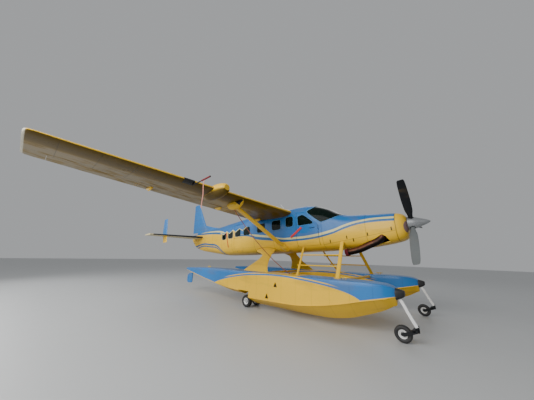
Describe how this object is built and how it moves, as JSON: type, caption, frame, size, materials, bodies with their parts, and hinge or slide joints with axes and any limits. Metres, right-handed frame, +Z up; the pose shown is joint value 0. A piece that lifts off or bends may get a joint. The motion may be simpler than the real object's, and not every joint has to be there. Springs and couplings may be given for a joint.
{
  "type": "amphibious floatplane",
  "caption": "High-wing, strut-braced utility aircraft with a nose propeller on twin floats that carry nose and main wheels for use on land and water.",
  "frame": {"origin": "on the floor, below the middle of the aircraft's length, on its centre line", "axes": "+X forward towards the propeller, +Y to port along the wing, +Z up"},
  "size_m": [12.7898, 15.88, 4.9252],
  "materials": {
    "yellow_paint": "gloss",
    "blue_paint": "gloss",
    "white_paint": "satin",
    "window_glass": "gloss",
    "black_plastic": "matte",
    "tyre": "matte",
    "blade_paint": "satin",
    "bare_metal": "satin",
    "exhaust_metal": "satin",
    "grey_metal": "satin",
    "seat_cloth": "matte"
  },
  "bodies": {
    "airframe": {"nose_bowl": "yellow_paint", "cowling": "yellow_paint", "engine_block": "grey_metal", "exhaust_stack": "exhaust_metal", "cabin_shell": "blue_paint", "cabin_floor": "grey_metal", "instrument_panel": "black_plastic", "crew_seats": "seat_cloth", "passenger_seats_right": "seat_cloth", "passenger_seats_left": "seat_cloth", "windshield": "window_glass", "glazing_fore_right": "window_glass", "glazing_fore_left": "window_glass", "glazing_aft_right": "window_glass", "glazing_aft_left": "window_glass", "tail_cone": "blue_paint", "tailplane": "blue_paint", "fin": "blue_paint", "wing_right": "yellow_paint", "wing_left": "yellow_paint", "lift_strut_right": "yellow_paint", "lift_strut_left": "yellow_paint", "float_right": "yellow_paint", "float_left": "yellow_paint", "strut_frame_right": "yellow_paint", "strut_frame_left": "yellow_paint", "rear_strut_right": "yellow_paint", "rear_strut_left": "yellow_paint", "spreader_fore": "yellow_paint", "spreader_aft": "yellow_paint", "nose_leg_right": "white_paint", "nose_leg_left": "white_paint", "main_leg_right": "grey_metal", "main_leg_left": "grey_metal"},
    "propeller": {"propeller": "blade_paint", "spinner": "bare_metal"},
    "rudder": {"rudder": "blue_paint"},
    "elevators": {"elevators": "blue_paint"},
    "passenger_door_upper": {"passenger_door_upper": "blue_paint", "passenger_door_glass": "window_glass"},
    "passenger_door_lower": {"passenger_door_lower": "yellow_paint"},
    "cargo_door_upper": {"cargo_door_upper": "blue_paint", "cargo_door_glass": "window_glass"},
    "cargo_door_lower": {"cargo_door_lower": "yellow_paint"},
    "flap_right": {"flap_right": "yellow_paint"},
    "aileron_right": {"aileron_right": "yellow_paint"},
    "nose_fork_right": {"nose_fork_right": "grey_metal"},
    "nose_wheel_right": {"nose_wheel_right": "tyre"},
    "main_wheels_right": {"main_wheels_right": "tyre"},
    "water_rudder_right": {"water_rudder_right": "blue_paint"},
    "crew_door_right": {"crew_door_right": "blue_paint", "crew_door_glass_right": "window_glass"},
    "flap_left": {"flap_left": "yellow_paint"},
    "aileron_left": {"aileron_left": "yellow_paint"},
    "nose_fork_left": {"nose_fork_left": "grey_metal"},
    "nose_wheel_left": {"nose_wheel_left": "tyre"},
    "main_wheels_left": {"main_wheels_left": "tyre"},
    "water_rudder_left": {"water_rudder_left": "blue_paint"},
    "crew_door_left": {"crew_door_left": "blue_paint", "crew_door_glass_left": "window_glass"}
  },
  "joints": [
    {"name": "propeller_spin", "type": "hinge", "parent": "airframe", "child": "propeller", "pos_m": [5.94056, 0, 2.79587], "axis": [0.9986, 0, 0.053], "continuous": true},
    {"name": "nose_caster_right", "type": "hinge", "parent": "airframe", "child": "nose_fork_right", "pos_m": [5.99492, -1.6, 0.25], "axis": [0, 0, 1], "range_deg": [-35, 35]},
    {"name": "nose_wheel_spin_right", "type": "hinge", "parent": "nose_fork_right", "child": "nose_wheel_right", "pos_m": [5.71492, -1.6, 0.175], "axis": [0, 1, 0], "continuous": true},
    {"name": "main_wheels_spin_right", "type": "hinge", "parent": "airframe", "child": "main_wheels_right", "pos_m": [1.00492, -1.6, 0.2], "axis": [0, 1, 0], "continuous": true},
    {"name": "water_rudder_turn_right", "type": "hinge", "parent": "airframe", "child": "water_rudder_right", "pos_m": [-3.16508, -1.6, 0.38], "axis": [0, 0, 1], "range_deg": [-25, 25]},
    {"name": "flap_right_lower", "type": "hinge", "parent": "airframe", "child": "flap_right", "pos_m": [0.76043, -0.96, 3.34095], "axis": [0.009, -0.9985, 0.0533], "range_deg": [0, 30]},
    {"name": "aileron_right_turn", "type": "hinge", "parent": "airframe", "child": "aileron_right", "pos_m": [0.71939, -5.8, 3.58828], "axis": [0.0153, -0.9984, 0.0541], "range_deg": [-20, 20]},
    {"name": "crew_door_right_open", "type": "hinge", "parent": "airframe", "child": "crew_door_right", "pos_m": [3.29207, -0.78225, 2.56509], "axis": [-0.053, 0.0017, 0.9986], "range_deg": [0, 80]},
    {"name": "nose_caster_left", "type": "hinge", "parent": "airframe", "child": "nose_fork_left", "pos_m": [5.99492, 1.6, 0.25], "axis": [0, 0, 1], "range_deg": [-35, 35]},
    {"name": "nose_wheel_spin_left", "type": "hinge", "parent": "nose_fork_left", "child": "nose_wheel_left", "pos_m": [5.71492, 1.6, 0.175], "axis": [0, 1, 0], "continuous": true},
    {"name": "main_wheels_spin_left", "type": "hinge", "parent": "airframe", "child": "main_wheels_left", "pos_m": [1.00492, 1.6, 0.2], "axis": [0, 1, 0], "continuous": true},
    {"name": "water_rudder_turn_left", "type": "hinge", "parent": "airframe", "child": "water_rudder_left", "pos_m": [-3.16508, 1.6, 0.38], "axis": [0, 0, 1], "range_deg": [-25, 25]},
    {"name": "flap_left_lower", "type": "hinge", "parent": "airframe", "child": "flap_left", "pos_m": [0.76043, 0.96, 3.34095], "axis": [-0.009, -0.9985, -0.0533], "range_deg": [0, 30]},
    {"name": "aileron_left_turn", "type": "hinge", "parent": "airframe", "child": "aileron_left", "pos_m": [0.71939, 5.8, 3.58828], "axis": [-0.0153, -0.9984, -0.0541], "range_deg": [-20, 20]},
    {"name": "crew_door_left_open", "type": "hinge", "parent": "airframe", "child": "crew_door_left", "pos_m": [3.29207, 0.78225, 2.56509], "axis": [0.053, 0.0017, -0.9986], "range_deg": [0, 80]},
    {"name": "rudder_turn", "type": "hinge", "parent": "airframe", "child": "rudder", "pos_m": [-5.71577, 0, 2.98296], "axis": [-0.1793, 0, 0.9838], "range_deg": [-25, 25]},
    {"name": "elevators_turn", "type": "hinge", "parent": "airframe", "child": "elevators", "pos_m": [-5.51427, 0, 2.67722], "axis": [0, 1, 0], "range_deg": [-20, 25]},
    {"name": "passenger_door_upper_open", "type": "hinge", "parent": "airframe", "child": "passenger_door_upper", "pos_m": [-0.76217, -0.74875, 3.14089], "axis": [-0.9945, 0.0904, -0.0528], "range_deg": [0, 95]},
    {"name": "passenger_door_lower_open", "type": "hinge", "parent": "airframe", "child": "passenger_door_lower", "pos_m": [-0.69853, -0.68555, 1.94258], "axis": [0.995, -0.0846, 0.0528], "range_deg": [0, 110]},
    {"name": "cargo_door_upper_open", "type": "hinge", "parent": "airframe", "child": "cargo_door_upper", "pos_m": [-0.22693, 0.78127, 3.16931], "axis": [0.9963, 0.0682, 0.0529], "range_deg": [0, 100]},
    {"name": "cargo_door_lower_open", "type": "hinge", "parent": "airframe", "child": "cargo_door_lower", "pos_m": [0.06794, 0.82626, 2.36883], "axis": [0.053, 0, -0.9986], "range_deg": [0, 110]}
  ],
  "couplings": [
    {"joint": "flap_left_lower", "follows": "flap_right_lower", "ratio": 1},
    {"joint": "aileron_left_turn", "follows": "aileron_right_turn", "ratio": -1},
    {"joint": "water_rudder_turn_left", "follows": "water_rudder_turn_right", "ratio": 1}
  ]
}
